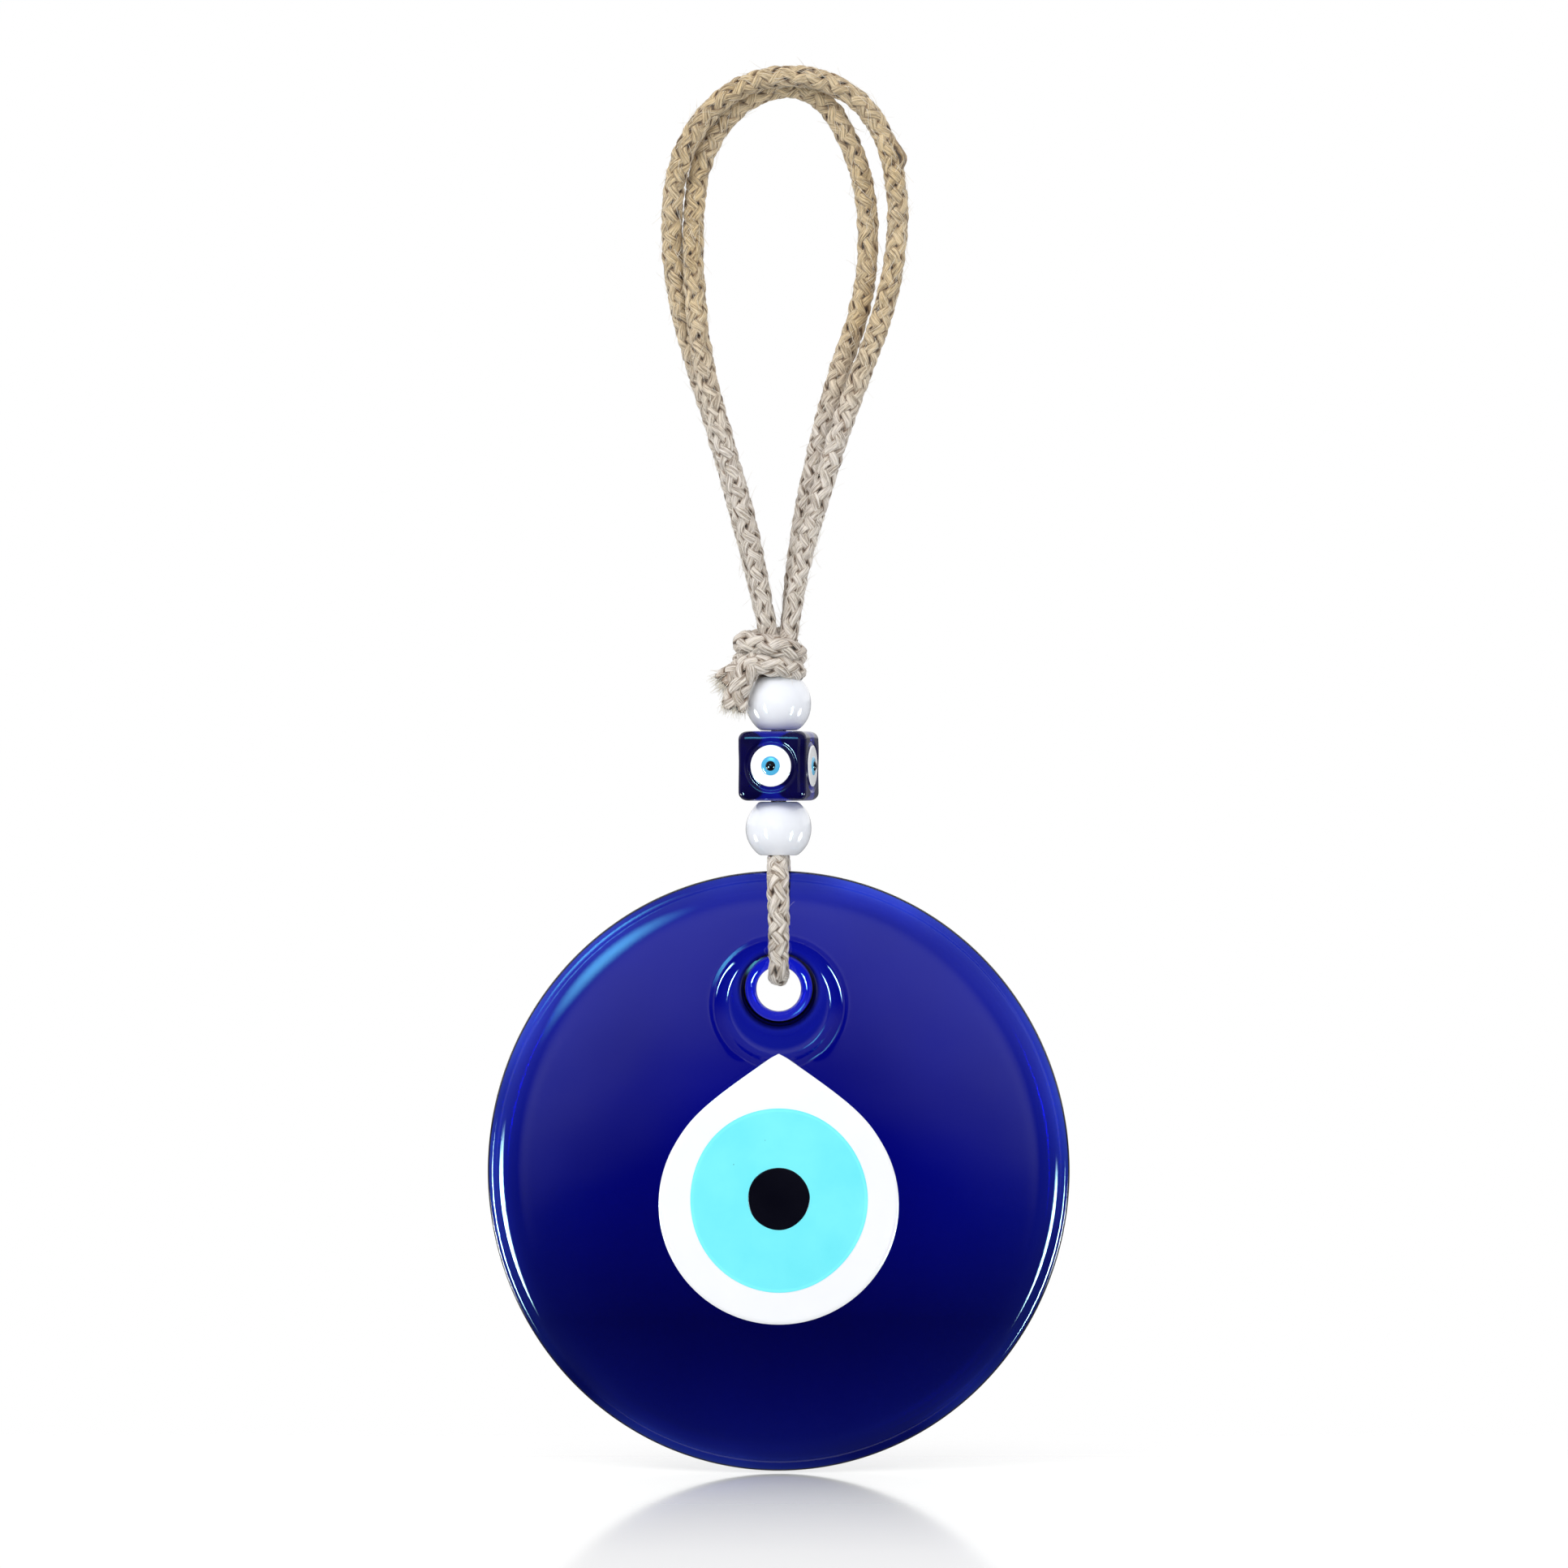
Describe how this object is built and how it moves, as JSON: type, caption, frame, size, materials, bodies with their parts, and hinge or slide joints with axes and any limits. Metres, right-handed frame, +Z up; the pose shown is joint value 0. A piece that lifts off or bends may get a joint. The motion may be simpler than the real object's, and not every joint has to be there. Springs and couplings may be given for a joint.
{
  "type": "evil eye ornament",
  "caption": "Poured glass eye disc hung by a knotted doubled jute cord through two white beads and an eye cube bead, with a long hanging loop.",
  "frame": {"origin": "inside of the hanging loop's top, where the nail or hook carries it", "axes": "+Z up along the cord, +Y from the front of the eye to the wall behind it, +X to the right seen from the front"},
  "size_m": [0.11, 0.0152, 0.2653],
  "materials": {
    "cobalt_glass": "clear dark blue glass, fire polished",
    "white_glass": "opaque white glass, glossy",
    "turquoise_glass": "opaque light blue glass, glossy",
    "sky_glass": "opaque mid blue glass, glossy",
    "black_glass": "opaque black glass, glossy",
    "jute": "natural three-strand twisted jute"
  },
  "bodies": {
    "hanger": {"loop_cord_outer": "jute", "loop_cord_inner": "jute"},
    "knot_end": {"knot": "jute", "cord_end_short": "jute", "cord_end_long": "jute"},
    "string": {"string_cord_front": "jute", "string_cord_back": "jute", "disc_cord": "jute"},
    "top_bead": {"upper_bead": "white_glass"},
    "eye_cube": {"cube_bead": "cobalt_glass", "cube_eye_white_front": "white_glass", "cube_eye_white_right": "white_glass", "cube_eye_white_back": "white_glass", "cube_eye_white_left": "white_glass", "cube_eye_blue_front": "sky_glass", "cube_eye_blue_right": "sky_glass", "cube_eye_blue_back": "sky_glass", "cube_eye_blue_left": "sky_glass", "cube_eye_pupil_front": "black_glass", "cube_eye_pupil_right": "black_glass", "cube_eye_pupil_back": "black_glass", "cube_eye_pupil_left": "black_glass"},
    "bottom_bead": {"lower_bead": "white_glass"},
    "disc": {"glass_disc": "cobalt_glass", "white_drop": "white_glass", "turquoise_iris": "turquoise_glass", "black_pupil": "black_glass"}
  },
  "joints": [
    {"name": "loop_twist", "type": "hinge", "parent": "hanger", "child": "knot_end", "pos_m": [0, 0, -0.101], "axis": [0, 0, 1], "range_deg": [-90, 90], "stiffness_Nm_per_rad": 0.0015},
    {"name": "string_tip", "type": "hinge", "parent": "knot_end", "child": "string", "pos_m": [0, 0, -0.1149], "axis": [1, 0, 0], "range_deg": [-12, 12]},
    {"name": "upper_bead_spin", "type": "hinge", "parent": "string", "child": "top_bead", "pos_m": [0, 0, -0.1149], "axis": [0, 0, 1], "continuous": true},
    {"name": "cube_spin", "type": "hinge", "parent": "string", "child": "eye_cube", "pos_m": [0, 0, -0.1267], "axis": [0, 0, 1], "continuous": true},
    {"name": "lower_bead_spin", "type": "hinge", "parent": "string", "child": "bottom_bead", "pos_m": [0, 0, -0.1385], "axis": [0, 0, 1], "continuous": true},
    {"name": "disc_swing", "type": "hinge", "parent": "string", "child": "disc", "pos_m": [0, 0, -0.16646], "axis": [0, 1, 0], "range_deg": [-12, 12]}
  ]
}
